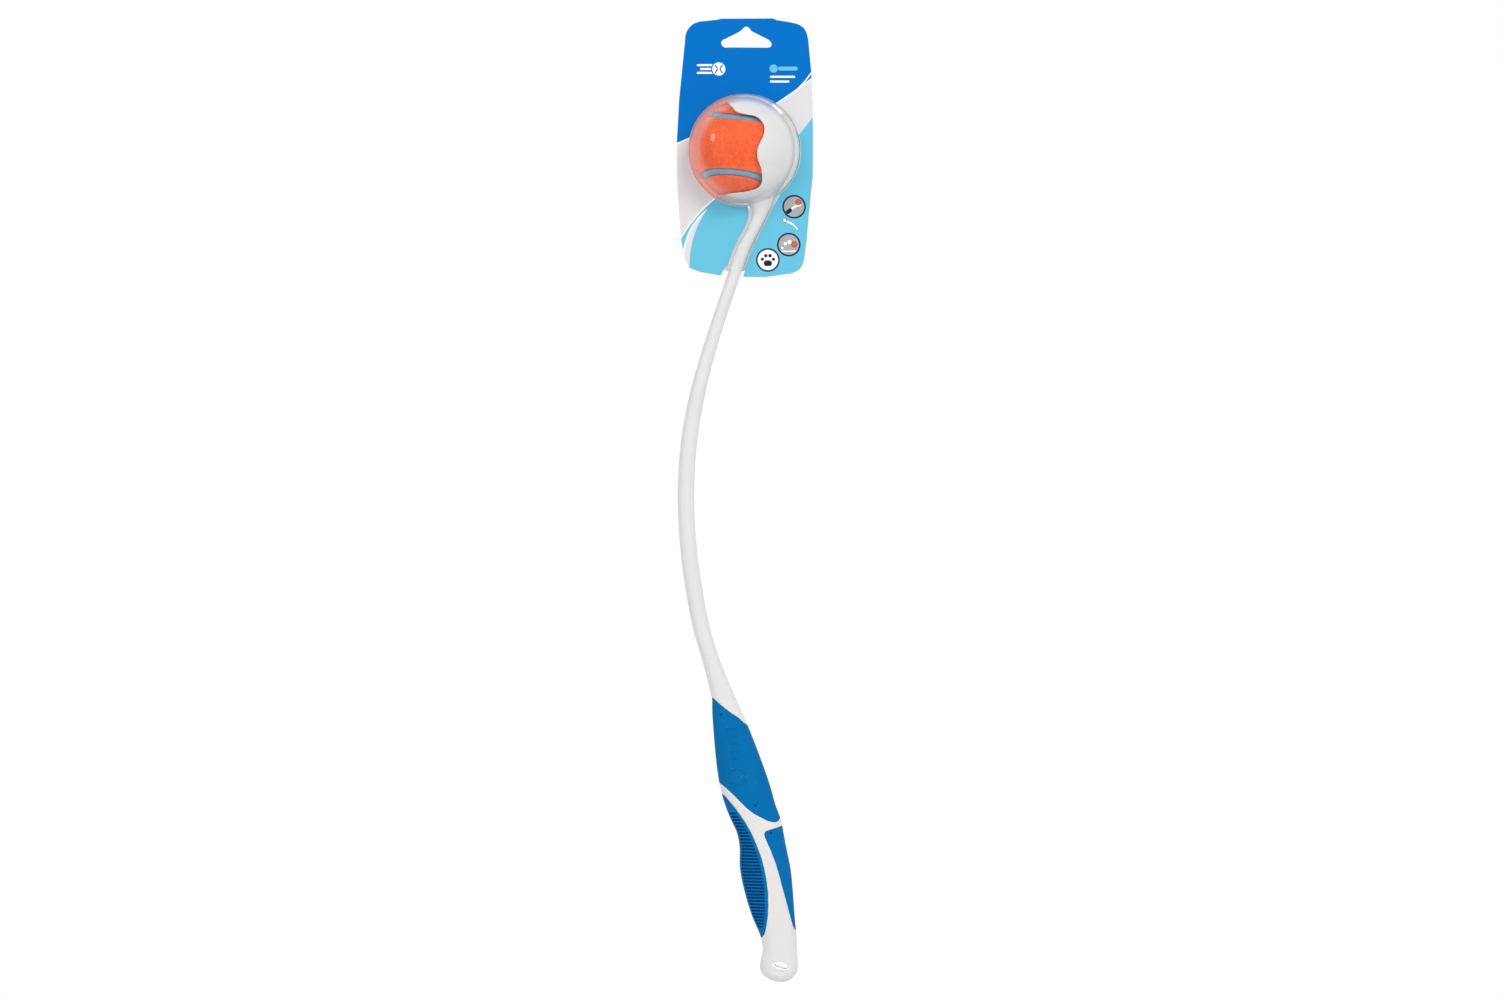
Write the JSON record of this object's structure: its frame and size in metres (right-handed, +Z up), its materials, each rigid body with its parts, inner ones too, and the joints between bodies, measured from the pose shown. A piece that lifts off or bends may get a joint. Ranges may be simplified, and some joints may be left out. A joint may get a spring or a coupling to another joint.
{
  "type": "dog ball thrower",
  "caption": "Long curved hand-held dog ball thrower: sprung cup with a felt ball, slim bowed shaft, soft-grip handle, held in a hang card with clear domed shells.",
  "frame": {"origin": "where a peg bears under the top of the hang hole in the card, midway through the card's thickness", "axes": "+Z up along the hanging object, +X to the right seen from the front, +Y away from the viewer, square to the card"},
  "size_m": [0.0898, 0.0742, 0.6359],
  "materials": {
    "white_plastic": "satin moulded polypropylene",
    "grip_rubber": "matte soft-touch",
    "ball_felt": "napped felt",
    "seam_rubber": "matte",
    "core_rubber": "matte",
    "printed_card": "varnished print",
    "clear_shell": "clear thermoformed sheet"
  },
  "bodies": {
    "thrower": {"throwing_arm": "white_plastic", "upper_grip": "grip_rubber", "finger_grip": "grip_rubber", "palm_grip": "grip_rubber"},
    "ball": {"core_half_a": "core_rubber", "core_half_b": "core_rubber", "felt_panel_a": "ball_felt", "felt_panel_b": "ball_felt", "ball_seam": "seam_rubber"},
    "front_pack": {"front_card": "printed_card", "front_blister": "clear_shell"},
    "back_pack": {"back_card": "printed_card", "back_blister": "clear_shell"}
  },
  "joints": [
    {"name": "ball_spin", "type": "hinge", "parent": "thrower", "child": "ball", "pos_m": [-0.0031, 0, -0.0815], "axis": [0, 1, 0], "continuous": true},
    {"name": "front_pack_pull", "type": "slide", "parent": "thrower", "child": "front_pack", "axis": [0, -1, 0], "range_m": [0, 0.06]},
    {"name": "back_pack_pull", "type": "slide", "parent": "thrower", "child": "back_pack", "axis": [0, 1, 0], "range_m": [0, 0.06]}
  ]
}
